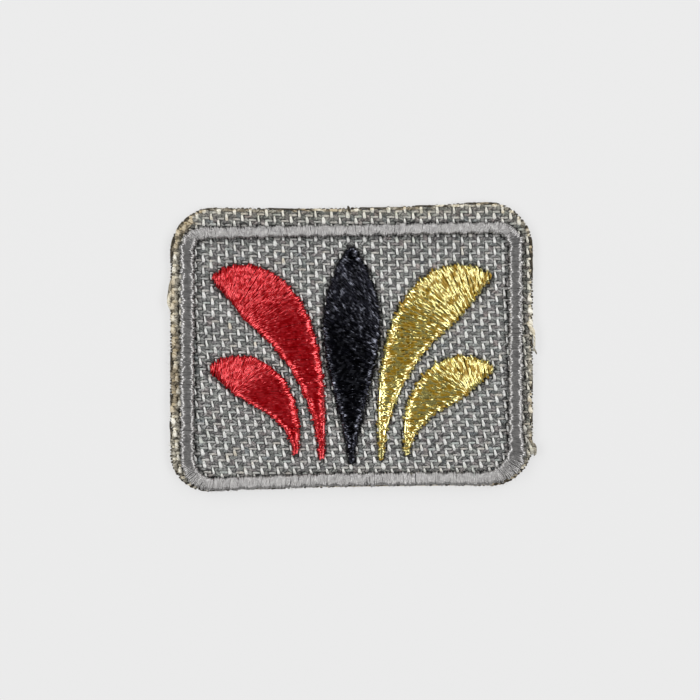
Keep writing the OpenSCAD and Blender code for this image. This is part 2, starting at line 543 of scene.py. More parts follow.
def sweepStrands(name, strands, sides, columns, material):
    angle = 2 * math.pi * np.arange(sides) / sides - math.pi / 2
    side = np.arange(sides)
    beside = (side + 1) % sides
    rows = math.ceil(len(strands) / columns)
    alongMargin = bakeLayout["alongMargin"]
    roundMargin = bakeLayout["roundMargin"]
    points = []
    faces = []
    threadUv = []
    bakeUv = []
    strandNumber = []
    singeing = []
    start = 0
    for k, strand in enumerate(strands):
        count = len(strand["path"])
        points.append(ringsOf(strand, angle))
        at = start + np.arange(count - 1)[:, None] * sides
        quads = np.stack([at + side, at + beside, at + beside + sides, at + side + sides], 2)
        faces.extend(quads.reshape(-1, 4).tolist())
        faces.append((start + side[::-1]).tolist())
        faces.append((start + (count - 1) * sides + side).tolist())
        along = distanceAlong(strand["path"])
        u, v = uvOf(along, sides)
        threadUv.append(np.stack([u, v], 1))
        row, column = divmod(k, columns)
        cellU = (column + alongMargin + (1 - 2 * alongMargin) * u / along[-1]) / columns
        cellV = (row + roundMargin + (1 - 2 * roundMargin) * v) / rows * bakeLayout["strandsHigh"]
        bakeUv.append(np.stack([cellU, cellV], 1))
        strandNumber.append(np.full(count * sides, strand["number"]))
        singeing.append(np.repeat(strand.get("singe", np.zeros(count)), sides))
        start += count * sides
    mesh = bpy.data.meshes.new(name)
    mesh.from_pydata((np.concatenate(points) * mm).tolist(), [], faces)
    for layer, values in (("threadUV", threadUv), ("OFBake", bakeUv)):
        values = np.concatenate(values).astype(np.float32).ravel()
        mesh.uv_layers.new(name=layer).uv.foreach_set("vector", values)
    for layer, values in (("strand", strandNumber), ("singe", singeing)):
        attribute = mesh.attributes.new(layer, "FLOAT", "POINT")
        attribute.data.foreach_set("value", np.concatenate(values).astype(np.float32))
    mesh.polygons.foreach_set("use_smooth", np.ones(len(faces), bool))
    mesh.update()
    piece = bpy.data.objects.new(name, mesh)
    bpy.context.scene.collection.objects.link(piece)
    mesh.materials.append(material)
    print(name, len(strands), "strands,", sum(len(face) - 2 for face in faces), "triangles")
    return piece


# A merged copy of a CAD node, selected and active, to be shaped with operators
mergeNearer = 0.001
flatWithin = 0.1  # degrees


def copyOfNode(node, name):
    bpy.ops.object.select_all(action="DESELECT")
    piece = bpy.data.objects.new(name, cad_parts[node].data.copy())
    bpy.context.scene.collection.objects.link(piece)
    bpy.context.view_layer.objects.active = piece
    piece.select_set(True)
    piece.data.materials.clear()
    bpy.ops.object.mode_set(mode="EDIT")
    bpy.ops.mesh.select_all(action="SELECT")
    bpy.ops.mesh.remove_doubles(threshold=mergeNearer * mm)
    bpy.ops.mesh.dissolve_limited(angle_limit=math.radians(flatWithin))
    bpy.ops.object.mode_set(mode="OBJECT")
    return piece


# Outlines, read from the frame
tolerance = 0.01  # places nearer than this to where they should be count as there


def pointsAt(node, height):
    places = np.array([v.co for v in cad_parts[node].data.vertices]) / mm
    level = places[np.abs(places[:, 2] - height) < tolerance, :2]
    return np.unique(level.round(3), axis=0)


def byAngle(places):
    way = places - (places.min(0) + places.max(0)) / 2
    return places[np.argsort(np.arctan2(way[:, 1], way[:, 0]))]


def borderRails():
    # Each crown point is the middle of its cross-section, so two edge points lie evenly about it
    low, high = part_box("border_stitching")
    crown = byAngle(pointsAt("border_stitching", high.z / mm))
    edges = pointsAt("border_stitching", low.z / mm)
    inner = []
    outer = []
    for middle in crown:
        way = edges - middle
        facing = np.linalg.norm(way[:, None] + way[None, :], axis=2).min(1)
        reach = np.where(facing > tolerance, np.inf, np.linalg.norm(way, axis=1))
        first = way[reach.argmin()]
        sign = 1 if first @ middle > 0 else -1
        outer.append(middle + sign * first)
        inner.append(middle - sign * first)
    return np.array(inner), np.array(outer)


def depthInside(places, loop):
    # Distance from a closed anticlockwise outline, above zero inside it
    way = np.roll(loop, -1, axis=0) - loop
    rel = places[:, None] - loop[None]
    t = np.clip((rel * way).sum(2) / (way ** 2).sum(1), 0, 1)
    gap = np.linalg.norm(rel - t[..., None] * way, axis=2)
    nearest = gap.argmin(1)
    index = np.arange(len(places))
    turn = way[nearest, 0] * rel[index, nearest, 1] - way[nearest, 1] * rel[index, nearest, 0]
    return gap[index, nearest] * np.where(turn >= 0, 1, -1)


clothOutline = byAngle(pointsAt("ground_cloth", 0))
clothSize = clothOutline.max(0) - clothOutline.min(0)
innerRail, outerRail = borderRails()
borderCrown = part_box("border_stitching")[1].z / mm
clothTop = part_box("ground_cloth")[1].z / mm


# Leaves: the spine stands straight up, or is a quarter of an ellipse that leaves its foot upright
leafShapes = {
    "middle": {"foot": (0, -18), "reach": 0, "rise": 33.4, "wide": 8.8, "late": 1.5, "slant": 0.23},
    "upper": {"foot": (4.6, -17.4), "reach": 16.8, "rise": 28, "wide": 8.4, "late": 1.7, "slant": 0.0},
    "lower": {"foot": (8.6, -16.6), "reach": 13.2, "rise": 13.2, "wide": 6.6, "late": 1.6, "slant": 0.0},
}
leafEndWide = 0.8
leafFullness = 0.9
leaves = [
    {"name": "navyLeaf", "node": "navy_leaf", "shape": "middle", "side": 1, "slot": "navy_thread"},
    {"name": "redUpperLeaf", "node": "red_upper_leaf", "shape": "upper", "side": -1, "slot": "red_thread"},
    {"name": "redLowerLeaf", "node": "red_lower_leaf", "shape": "lower", "side": -1, "slot": "red_thread"},
    {"name": "goldUpperLeaf", "node": "gold_upper_leaf", "shape": "upper", "side": 1, "slot": "gold_thread"},
    {"name": "goldLowerLeaf", "node": "gold_lower_leaf", "shape": "lower", "side": 1, "slot": "gold_thread"},
]


def leafAt(leaf, t):
    # Spine places, square directions and half widths at t along a leaf
    shape = leafShapes[leaf["shape"]]
    a = t * math.pi / 2
    if shape["reach"] == 0:
        spine = np.stack([np.zeros_like(t), shape["rise"] * t], 1)
        way = np.stack([np.zeros_like(t), np.ones_like(t)], 1)
    else:
        spine = np.stack([shape["reach"] * (1 - np.cos(a)), shape["rise"] * np.sin(a)], 1)
        way = np.stack([shape["reach"] * np.sin(a), shape["rise"] * np.cos(a)], 1)
    spine = (spine + shape["foot"]) * [leaf["side"], 1]
    way = way / np.linalg.norm(way, axis=1)[:, None] * [leaf["side"], 1]
    swell = np.clip(np.sin(math.pi * t ** shape["late"]), 0, 1) ** leafFullness
    half = (leafEndWide + (shape["wide"] - leafEndWide) * swell) / 2
    return spine, np.stack([-way[:, 1], way[:, 0]], 1), half


# Stitched places, as circles along each band's middle
circles = {"border": 700, "leaf": 90}


def onRail(rail, index):
    closed = np.vstack([rail, rail[:1]])
    steps = np.arange(len(closed))
    return np.stack([np.interp(index, steps, closed[:, 0]), np.interp(index, steps, closed[:, 1])], 1)


def stitchedCircles():
    index = np.linspace(0, len(innerRail), circles["border"], endpoint=False)
    inner = onRail(innerRail, index)
    outer = onRail(outerRail, index)
    middles = [(inner + outer) / 2]
    halves = [np.linalg.norm(outer - inner, axis=1) / 2]
    for leaf in leaves:
        spine, square, half = leafAt(leaf, np.linspace(0, 1, circles["leaf"]))
        middles.append(spine)
        halves.append(half)
    return np.concatenate(middles), np.concatenate(halves)


stitchedMiddles, stitchedHalves = stitchedCircles()


def depthUnderStitches(places):
    gap = np.linalg.norm(places[:, None] - stitchedMiddles[None], axis=2)
    return (stitchedHalves[None] - gap).max(1)


# Ground cloth: 2/2 twill, where ends and picks of light and grey yarn take turns
weave = {
    "ends": 60,  # to each side of the middle, more than the cloth is wide
    "warpStart": -0.97,
    "warpPitch": 0.629,
    "warpLean": -0.08,  # how far an end moves aside in a millimetre up the cloth
    "warpBow": 0.0019,  # the same, for each millimetre squared
    "picks": 62,
    "weftStart": 0.25,
    "weftPitch": 0.462,
    "weftLean": -0.009,
    "weftBow": 0.00052,
    "weftSpread": -0.00023,
    "settling": 7,  # rounds to find a crossing in
    "edgeFollow": 0.0045,  # how the ends bend along with the left edge
    "edgeReach": 3.0,
    "middle": 0.6,
    "floatShape": 0.6,  # below 1 the floats are flat and the steps between them steep
    "floatLean": 0.05,  # how far aside a float's ends lie
    "floatSwell": 0.12,
    "repeats": 32,
    # Where the rings lie in four steps of the twill
    "ringPhases": (0.45, 0.8, 1.15, 1.5, 1.85, 2.2, 2.55, 3.15, 3.85),
    "wander": (30, 0.02),  # how many knots along a yarn, and how far it strays there
    "lift": (60, 0.015),  # the same, up and down
    "wideKnots": 60,
    "highDrift": (40, 0.05),
    "leastRings": 4,
    "pressed": 0.3,  # how far the stitches press a yarn at the cloth's top
    "pressReach": 0.15,
    "dimple": 0.12,  # and how far it sinks close beside them
    "dimpleReach": 0.35,
}
# The hot cut, and how far in it singed the yarns
cut = {
    "margin": -0.05,  # inside the outline, so that below 0 the yarns reach past it
    "ragged": 0.07,  # how unevenly long they are
    "beyond": 0.05,
    "leastWide": 0.12,
    "leastAlong": 0.02,
    "endSize": 0.7,  # of the last ring at each end
    "fusing": 2.0,  # how soon charring swells a yarn
    "singeLeft": 2.3,
    "singeRight": 0.75,
    "singeTop": 0.6,
    "cornerFrom": (19.0, 14.0),  # from the middle of the cloth
    "cornerOver": (8.0, 7.0),
    "cornerSinge": 0.1,
    "warmReach": 3.6,
    "warmShare": 0.4,
    "rimReach": 0.2,
    "rimSinge": 0.3,
}
# Yarns: wide and high are halves, taper is along a float, and fused says how much wider charred ends are
yarns = {
    "lightWarp": {"wave": 0.27, "wide": 0.2, "high": 0.22, "taper": 0.4, "uneven": 0.18, "fused": 1.7},
    "greyWarp": {"wave": 0.2, "wide": 0.32, "high": 0.25, "taper": 0.1, "uneven": 0.1, "fused": 1.2},
    "lightWeft": {"wave": 0.18, "wide": 0.19, "high": 0.17, "taper": 0.0, "uneven": 0.14, "fused": 1.5},
    "greyWeft": {"wave": 0.19, "wide": 0.25, "high": 0.23, "taper": 0.0, "uneven": 0.1, "fused": 1.1},
}
warpSides = 7
weftSides = 6
floatMiddle = 1.5  # where in the twill's four steps the middle of a float is


def crossingAt(end, pick):
    # The lean of ends and picks depends on both, so their crossing is found in a few rounds
    startX = weave["warpStart"] + end * weave["warpPitch"]
    startY = weave["weftStart"] + pick * weave["weftPitch"]
    x = startX
    y = startY
    for step in range(weave["settling"]):
        x = startX + weave["warpLean"] * y + weave["warpBow"] * y * y
        y = startY + weave["weftLean"] * x + weave["weftBow"] * x * x + weave["weftSpread"] * pick * x
        fromLeft = (x - clothOutline[:, 0].min()).clip(0)
        x = x + weave["edgeFollow"] * np.maximum(y, 0) ** 2 * np.exp(-fromLeft / weave["edgeReach"])
    return x, y


def phaseAt(place):
    # Where in its four steps the twill is at a place, about
    x, y = place
    end = (x - weave["warpStart"] - weave["warpLean"] * y - weave["warpBow"] * y * y) / weave["warpPitch"]
    pick = y - weave["weftStart"] - weave["weftLean"] * x - weave["weftBow"] * x * x
    return end + pick / (weave["weftPitch"] + weave["weftSpread"] * x)


def overUnder(phase):
    # From 1, on top of the other set, to -1, under it, in floats of two crossings
    wave = np.cos((phase - floatMiddle) * math.pi / 2)
    return np.sign(wave) * np.abs(wave) ** weave["floatShape"]


def drift(count, knots, size):
    # A slow random change along a strand
    return np.interp(np.linspace(0, knots, count), np.arange(knots + 1), dice.normal(0, size, knots + 1))


def eased(share):
    share = np.clip(share, 0, 1)
    return share * share * (3 - 2 * share)


def heatAt(places, fromCut):
    # How far the hot cut charred and warmed the yarn at its places: most at the left, least at the top
    def fading(reach):
        return np.clip(1 - fromCut / reach, 0, 1)

    share = np.abs(places) / clothSize
    sideReach = np.where(places[:, 0] < 0, cut["singeLeft"], cut["singeRight"])
    reach = np.where(share[:, 0] > share[:, 1], sideReach, cut["singeTop"])
    corner = eased((np.abs(places) - cut["cornerFrom"]) / cut["cornerOver"]).prod(1)
    charred = fading(reach) * (1 + cut["cornerSinge"] * corner)
    singe = cut["warmShare"] * fading(cut["warmReach"]) + (1 - cut["warmShare"]) * charred
    return charred, singe + cut["rimSinge"] * fading(cut["rimReach"])


def laidYarn(kind, path, phase):
    # Cuts one yarn to the cloth's outline and presses it under the stitches
    yarn = yarns[kind]
    count = len(path)
    depth = depthInside(path[:, :2], clothOutline)
    margin = cut["margin"] + abs(dice.normal(0, cut["ragged"]))
    steps = np.linalg.norm(np.gradient(path[:, :2], axis=0), axis=1)
    alongEdge = np.sqrt(np.clip(1 - (np.gradient(depth) / steps) ** 2, cut["leastAlong"], 1))
    over = overUnder(phase)
    taper = yarn["taper"] * over.clip(0) * (phase % 4 - floatMiddle)
    swell = 1 + weave["floatSwell"] * over - taper
    wide = yarn["wide"] * swell * np.exp(drift(count, weave["wideKnots"], yarn["uneven"]))
    high = yarn["high"] * np.exp(drift(count, *weave["highDrift"]))
    keep = np.flatnonzero(depth > margin)
    if len(keep) < weave["leastRings"]:
        return []
    under = depthUnderStitches(path[:, :2])
    pressing = eased((under + weave["pressReach"]) / (2 * weave["pressReach"]))
    path[:, 2] -= weave["pressed"] * pressing * (path[:, 2] / clothTop)
    dimple = np.exp(-(under.clip(None, 0) / weave["dimpleReach"]) ** 2) * (1 - pressing)
    path[:, 2] -= weave["dimple"] * dimple
    strands = []
    number = dice.random()
    for run in np.split(keep, np.flatnonzero(np.diff(keep) > 1) + 1):
        if len(run) < weave["leastRings"]:
            continue
        place = run.astype(float)
        for end, beyond in ((0, run[0] - 1), (-1, run[-1] + 1)):
            if 0 <= beyond < count:
                share = (depth[run[end]] - margin) / (depth[run[end]] - depth[beyond])
                place[end] = run[end] + share * (beyond - run[end])

        def at(values):
            return np.interp(place, np.arange(count), values)

        laid = np.stack([at(path[:, 0]), at(path[:, 1]), at(path[:, 2])], 1)
        near = at(depth)
        charred, singe = heatAt(laid[:, :2], near - margin)
        fused = 1 + (yarn["fused"] - 1) * eased(charred * cut["fusing"])
        room = np.maximum(near + cut["beyond"], cut["leastWide"]) / at(alongEdge)
        ends = np.ones(len(laid))
        ends[[0, -1]] = cut["endSize"]
        strands.append({
            "path": laid,
            "wide": np.minimum(at(wide) * fused, room) * ends,
            "high": at(high) * ends,
            "singe": singe,
            "number": number,
        })
    return strands


def ringPhases():
    return (4 * np.arange(-weave["repeats"], weave["repeats"])[:, None] + weave["ringPhases"]).ravel()


def heightsOf(kind, phase):
    return weave["middle"] + yarns[kind]["wave"] * overUnder(phase) + drift(len(phase), *weave["lift"])


def warpStrands(kind, parity):
    strands = []
    phase = ringPhases()
    lean = weave["floatLean"] * np.sin((phase - floatMiddle) * math.pi / 2)
    for end in range(-weave["ends"] + parity, weave["ends"] + 1, 2):
        x, y = crossingAt(end, phase - end)
        x = x + drift(len(phase), *weave["wander"]) - lean
        strands += laidYarn(kind, np.stack([x, y, heightsOf(kind, phase)], 1), phase)
    return strands


def weftStrands(kind, parity):
    strands = []
    phase = ringPhases()
    for pick in range(-weave["picks"] + parity, weave["picks"] + 1, 2):
        x, y = crossingAt(phase - 2 - pick, pick)
        y = y + drift(len(phase), *weave["wander"])
        strands += laidYarn(kind, np.stack([x, y, heightsOf(kind, phase)], 1), phase)
    return strands


def weaveCloth():
    light = woolMaterial("lightWool", lightYarn)
    # The light weft's wool, also used for the light loose ends and the fuzz, is the light wool with painted
    # shade
    lightWoolPaintedShade = woolMaterial("lightWeftWoolPaintedShade", lightWeftYarnPaintedShade)
    grey = woolMaterial("greyWool", greyYarn)
    pieces = []
    for kind, strandsOf, parity, sides, material in (
        ("lightWarp", warpStrands, 0, warpSides, light),
        ("greyWarp", warpStrands, 1, warpSides, grey),
        ("lightWeft", weftStrands, 1, weftSides, lightWoolPaintedShade),
        ("greyWeft", weftStrands, 0, weftSides, grey),
    ):
        pieces.append(sweepStrands(kind, strandsOf(kind, parity), sides, 1, material))
    pieces.append(layLooseEnds("light", lightWoolPaintedShade))
    pieces.append(layLooseEnds("grey", grey))
    pieces.append(growFuzz(lightWoolPaintedShade))
    return pieces


# Core: the felted middle of the cloth, which closes the gaps between the yarns and shows as a dark rim near
# the cut, partly singed and partly a painted shadow of the cut edge
core = {
    "thick": 0.34,
    "rim": 0.3,  # width of the dark rim, partly singed and partly painted shadow
    "inset": 0.16,  # how far it stays inside the cut
    "levelNormal": 0.9,  # faces that point up or down more than this are the felt's two sides
    "felt": ((0.015, 0.014, 0.015), (0.07, 0.068, 0.065)),
    # the rim's colours: singed felt, darkened further as painted shadow along the cut edge
    "singed": ((0.03, 0.026, 0.018), (0.15, 0.13, 0.09)),
}


def makeCore():
    piece = copyOfNode("ground_cloth", "groundCloth")
    bpy.ops.object.mode_set(mode="EDIT")
    bpy.ops.mesh.select_all(action="SELECT")
    low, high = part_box("ground_cloth")
    share = 1 - 2 * core["inset"] * mm / (high.y - low.y)
    smaller = (share, share, core["thick"] / clothTop)
    bpy.ops.transform.resize(value=smaller, center_override=(0, 0, clothTop / 2 * mm))
    bpy.ops.object.mode_set(mode="OBJECT")
    piece.data.materials.append(feltMaterial("clothCore", core["felt"]))
    piece.data.materials.append(feltMaterial("singedRimPaintedShadow", core["singed"]))
    for face in piece.data.polygons:
        face.select = abs(face.normal.z) > core["levelNormal"]
        face.material_index = 1
    bpy.ops.object.mode_set(mode="EDIT")
    bpy.ops.mesh.select_mode(type="FACE")
    bpy.ops.mesh.inset(thickness=core["rim"] * mm, depth=0)
    bpy.ops.object.mode_set(mode="OBJECT")
    for face in piece.data.polygons:
        if face.select:
            face.material_index = 0
    return piece


# Stitches: each is one thread that comes up out of the cloth, crosses its band and goes down again
stitching = {
    "foot": 0.72,  # the lowest that a stitch goes, inside the cloth
    "sides": 6,
    "tipRound": 0.7,  # how far short of its hole a stitch ends, in half heights of its thread
    "leastReach": 0.1,
    "edgeShare": 0.9,
    "flatEdge": 0.5,  # how much of the edge's depth is left where stitches run up the cloth
    "domeShape": 2.4,
    "clearOfCloth": 0.1,
    "wideUneven": 0.06,
    "twillPull": 0.11,  # how far the floats of the cloth draw the stitch ends in and out
}


def stitchStrand(start, end, crown, look, holeSide, number, endDrop=0):
    # One stitch from start to end: up out of the cloth, over a low dome and down again. It shares each
    # hole with a neighbour, so it bends aside near both ends
    reach = np.linalg.norm(end - start) / 2
    heading = (end - start) / (2 * reach)
    sideways = np.array([-heading[1], heading[0]])
    reach = max(reach - look["high"] * stitching["tipRound"], stitching["leastReach"])
    length = 2 * reach
    offsets, depths = np.array([step for step in look["edge"] if step[0] < reach * stitching["edgeShare"]]).T
    rings = 2 + round((length - 2 * offsets[-1]) / look["step"])
    between = np.linspace(offsets[-1], length - offsets[-1], rings)
    place = np.r_[offsets[:-1], between, length - offsets[-2::-1]]
    count = len(place)
    fromEnd = np.minimum(place, length - place)
    free = np.sin(math.pi * place / length)
    drop = min(look["drop"], crown - clothTop - stitching["clearOfCloth"])
    dome = (1 - fromEnd / reach) ** stitching["domeShape"] * drop
    depth = np.interp(fromEnd, offsets, depths)
    depth[1:-1] *= stitching["flatEdge"] + (1 - stitching["flatEdge"]) * abs(heading[0])
    strayEvery, strayFar = look["stray"]
    knots = max(2, round(length / strayEvery))
    path = np.empty((count, 3))
    path[:, 2] = crown - look["high"] - dome - depth + drift(count, knots, look["lift"]) * free
    path[:, 2] -= endDrop * (place / length) ** 2
    path[:, 2] = np.maximum(path[:, 2], stitching["foot"])
    bow = free * dice.normal(0, look["wander"]) + drift(count, knots, strayFar)
    toHole = np.sign(reach - place) * np.exp(-(fromEnd / look["pinch"]) ** 2)
    bow += holeSide * look["spacing"] / 2 * toHole
    path[:, :2] = (start + end) / 2 + (place - reach)[:, None] * heading + bow[:, None] * sideways
    wide = look["wide"] * dice.normal(1, stitching["wideUneven"])
    rolls = max(2, round(length / look["glint"]))
    rollAt = dice.normal(0, look["roll"], rolls + 1)
    return {
        "path": path,
        "heading": heading,
        "wide": np.full(count, wide),
        "high": np.full(count, look["high"]),
        "turn": 2 * math.pi * (place / threadMake["twist"] + number) * look["turning"],
        "roll": np.interp(place, np.linspace(0, length, rolls + 1), rollAt),
        "number": number,
    }


def satin(startAt, endAt, count, look):
    # Stitches side by side, a little unevenly, and let out or drawn in by the twill under their ends
    def letOut(place, way):
        pull = stitching["twillPull"] * math.cos(phaseAt(place) * math.pi / 2)
        return place + way * (dice.normal(0, look["ragged"]) + pull)

    lines = []
    for k in range(count):
        a = startAt((k + 0.5 + dice.normal(0, look["uneven"])) / count)
        b = endAt((k + 0.5 + dice.normal(0, look["uneven"])) / count)
        way = (b - a) / np.linalg.norm(b - a)
        a = letOut(a, -way)
        b = letOut(b, way)
        lines.append((a, b))
    return lines


# The border's stitches, and below them the silky and the metallic ones of the leaves
border = {
    "spacing": 0.235,  # from stitch to stitch
    "bed": 0.15,  # how far the underlay lies inside the solid
    "wide": 0.2,  # half width of a thread
    "high": 0.13,  # half height
    "turning": 1.0,  # 1 where the section turns with the plies, 0 where it doesn't
    "lift": 0.015,  # how unevenly high a stitch lies
    "drop": 0.0,  # how far its dome falls towards its ends
    # How far below the dome a stitch lies at each distance from its end
    "edge": ((0, 1.0), (0.03, 0.22), (0.12, 0.16), (0.24, 0.1), (0.36, 0.045), (0.55, 0.01)),
    "ragged": 0.07,  # how unevenly far its ends reach
    "uneven": 0.14,  # how unevenly they stand side by side, in stitches
    "wander": 0.03,  # how far it bows to one side
    "stray": (0.7, 0.02),  # the length it strays over, and how far
    "pinch": 0.06,  # how near its ends it bends towards its hole
    "roll": 0.12,  # how far it rolls, in radians
    "glint": 0.7,  # the length of one roll
    "step": 0.36,  # from ring to ring
    "bottomDrop": 0.1,  # how far the outer ends drop along the bottom
    "corner": (25.8, -18.4),  # where the stitches reach nearly to the cut edge
    "cornerReach": 0.8,
    "cornerWide": 3.2,
    "bakeColumns": 12,
}
silkStitch = {
    "spacing": 0.2,
    "bed": 0.17,
    "paired": 2,  # how many neighbouring stitches share their shades
    "crowd": 0.85,  # spacing beside the stride along the longer edge
    "wide": 0.18,
    "high": 0.12,
    "turning": 0.0,
    "lift": 0.05,
    "drop": 0.35,
    "edge": ((0, 1.2), (0.03, 0.3), (0.13, 0.2), (0.28, 0.12), (0.5, 0.05), (0.8, 0.0)),
    "ragged": 0.12,
    "uneven": 0.25,
    "wander": 0.06,
    "stray": (0.6, 0.05),
    "pinch": 0.35,
    "roll": 0.25,
    "glint": 0.8,
    "step": 0.3,
}
goldStitch = {
    "spacing": 0.25,
    "bed": 0.21,
    "paired": 1,
    "crowd": 0.85,
    "wide": 0.22,
    "high": 0.14,
    "turning": 0.0,
    "lift": 0.09,
    "drop": 0.35,
    "edge": ((0, 1.3), (0.04, 0.42), (0.15, 0.3), (0.3, 0.19), (0.46, 0.11), (0.66, 0.04), (0.9, 0.0)),
    "ragged": 0.16,
    "uneven": 0.3,
    "wander": 0.1,
    "stray": (0.8, 0.09),
    "pinch": 0.42,
    "roll": 0.35,
    "glint": 0.9,
    "step": 0.25,
}


underlay = {
    "drop": 0.03,
    "shade": 0.05,  # the least that it is darkened, as painted shade under and between the top stitches
    "threadTurns": 9,
}


def makeUnderlay(node, name, material, shrink):
    # The stitching under the top stitches, a little smaller than the solid that they fill
    piece = copyOfNode(node, name)
    bpy.ops.object.mode_set(mode="EDIT")
    bpy.ops.mesh.select_all(action="SELECT")
    bpy.ops.transform.shrink_fatten(value=-shrink * mm)
    bpy.ops.transform.translate(value=(0, 0, -underlay["drop"] * mm))
    bpy.ops.object.mode_set(mode="OBJECT")
    low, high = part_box(node)
    flat = np.array([(v.co.x, v.co.y) for v in piece.data.vertices])
    flat = (flat - [low.x, low.y]) / [high.x - low.x, high.y - low.y]
    corners = flat[[loop.vertex_index for loop in piece.data.loops]]
    margin = bakeLayout["stripMargin"]
    bottom = bakeLayout["strandsHigh"] + margin
    strip = corners * [1 - 2 * margin, 1 - margin - bottom] + [margin, bottom]
    for layer, values in (("threadUV", corners * underlay["threadTurns"]), ("OFBake", strip)):
        piece.data.uv_layers.new(name=layer).uv.foreach_set("vector", values.astype(np.float32).ravel())
    # Every point of the underlay is marked with 1, for its painted shade in the thread material
    paintedShadeMark = piece.data.attributes.new("singe", "FLOAT", "POINT")
    paintedShadeMark.data.foreach_set("value", np.ones(len(piece.data.vertices), np.float32))
    piece.data.materials.append(material)
    return piece


def joinPieces(main, extra):
    bpy.ops.object.select_all(action="DESELECT")
    extra.select_set(True)
    main.select_set(True)
    bpy.context.view_layer.objects.active = main
    bpy.ops.object.join()


def sewBorder(material):
    middle = (innerRail + outerRail) / 2
    closed = np.vstack([middle, middle[:1]])
    length = distanceAlong(closed)
    count = 2 * round(length[-1] / border["spacing"] / 2)

    def railAt(rail):
        def place(t):
            index = np.interp(t % 1 * length[-1], length, np.arange(len(closed)))
            return onRail(rail, [index])[0]

        return place

    lines = satin(railAt(innerRail), railAt(outerRail), count, border)
    numbers = dice.random(count)
    strands = []
    for k, (a, b) in enumerate(lines):
        endDrop = border["bottomDrop"] * max(0, (a - b)[1] / np.linalg.norm(a - b))
        nearCorner = math.exp(-(np.linalg.norm(b - border["corner"]) / border["cornerWide"]) ** 2)
        b = b + (b - a) / np.linalg.norm(b - a) * border["cornerReach"] * nearCorner
        holeSide = 1 if k % 2 else -1
        strands.append(stitchStrand(a, b, borderCrown, border, holeSide, numbers[k // 2], endDrop))
    piece = sweepStrands("borderStitches", strands, stitching["sides"], border["bakeColumns"], material)
    joinPieces(piece, makeUnderlay("border_stitching", "borderUnderlay", material, border["bed"]))
    return piece, sewBack(lines, "borderBack", material)


# Leaf stitches lie level up to levelTo, and turn with the leaf from there to its tip
leafSewing = {
    "levelTo": 0.46,
    "turnOver": 0.34,
    "tiltFrom": 0.4,
    "tiltOver": 0.4,
    "tiltEnd": 0.25,
    "lowCrown": 0.25,
    "fullCrown": 0.6,
    "samples": 400,
    "edgeSamples": 200,
    "bakeColumns": 8,
}


def sewLeaf(leaf, material):
    sewing = leafSewing
    stitch = goldStitch if leaf["slot"] == "gold_thread" else silkStitch
    t = np.linspace(0, 1, sewing["samples"])
    length = distanceAlong(leafAt(leaf, t)[0])
    slant = leafShapes[leaf["shape"]]["slant"] / 2

    def edgeAt(side):
        def acrossAt(share):
            return leafAt(leaf, np.interp([share * length[-1]], length, t))

        def place(share):
            share = min(max(share, 0), 1)
            spine, square, half = acrossAt(share)
            level = half[0] * square[0, 1] / square[0, 0] / length[-1]
            level *= 1 - eased((share - sewing["levelTo"]) / sewing["turnOver"])
            tilt = slant * eased((share - sewing["tiltFrom"]) / sewing["tiltOver"])
            tilt *= eased((1 - share) / sewing["tiltEnd"])
            spine, square, half = acrossAt(min(max(share + side * (level + tilt), 0), 1))
            return (spine + side * square * half[:, None])[0]

        return place

    # The stitches are as close as they should be on whichever edge is the longer there
    shares = np.linspace(0, 1, sewing["edgeSamples"])
    edges = [np.array([edgeAt(side)(share) for share in shares]) for side in (-1, 1)]
    strides = [np.linalg.norm(np.diff(edge, axis=0), axis=1) for edge in edges]
    crowded = np.maximum(*strides) * stitch["crowd"]
    crowd = np.r_[0, np.cumsum(np.maximum(crowded, length[-1] / len(shares)))]
    count = round(crowd[-1] / stitch["spacing"])

    def evenly(edge):
        return lambda share: edge(np.interp(share * crowd[-1], crowd, shares))

    lines = satin(evenly(edgeAt(-1)), evenly(edgeAt(1)), count, stitch)
    widest = leafShapes["middle"]["wide"]
    numbers = dice.random(count)
    strands = []
    for k, (a, b) in enumerate(lines):
        share = math.sqrt(min(1, np.linalg.norm(b - a) / widest))
        crown = clothTop + sewing["lowCrown"] + sewing["fullCrown"] * share
        holeSide = 1 if k % 2 else -1
        number = numbers[k // stitch["paired"]]
        strands.append(stitchStrand(a, b, crown, stitch, holeSide, number))
    name = leaf["name"]
    piece = sweepStrands(name + "Stitches", strands, stitching["sides"], sewing["bakeColumns"], material)
    joinPieces(piece, makeUnderlay(leaf["node"], name + "Underlay", material, stitch["bed"]))
    return piece, sewBack(lines, name + "Back", material)


# Back: the short straight stitches that hold each band from below
backStitch = {
    "share": 0.62,  # of the band's width
    "every": 2,  # one back stitch for so many on the face
    "leastReach": 0.2,
    "level": 0.075,  # how high its middle lies
    "wide": 0.14,
    "high": 0.06,
    "ragged": 0.12,
    "wander": 0.02,
    "rings": ((-1, 0.3), (-0.9, 0.02), (0, 0), (0.9, 0.02), (1, 0.3)),  # share of the reach, and rise
    "sides": 5,
    "bakeColumns": 16,
}


def sewBack(lines, name, material):
    back = backStitch
    shares, rises = np.array(back["rings"]).T
    count = len(shares)
    strands = []
    for start, end in lines[::back["every"]]:
        half = (end - start) / 2 * back["share"]
        reach = np.linalg.norm(half) + dice.normal(0, back["ragged"])
        if reach < back["leastReach"]:
            continue
        way = half / np.linalg.norm(half)
        flat = (start + end) / 2 + (shares * reach)[:, None] * way
        flat = flat + dice.normal(0, back["wander"], (count, 2))
        strands.append({
            "path": np.column_stack([flat, back["level"] + rises]),
            "heading": way,
            "wide": np.full(count, back["wide"]),
            "high": np.full(count, back["high"]),
            "number": dice.random(),
        })
    return sweepStrands(name, strands, back["sides"], back["bakeColumns"], material)


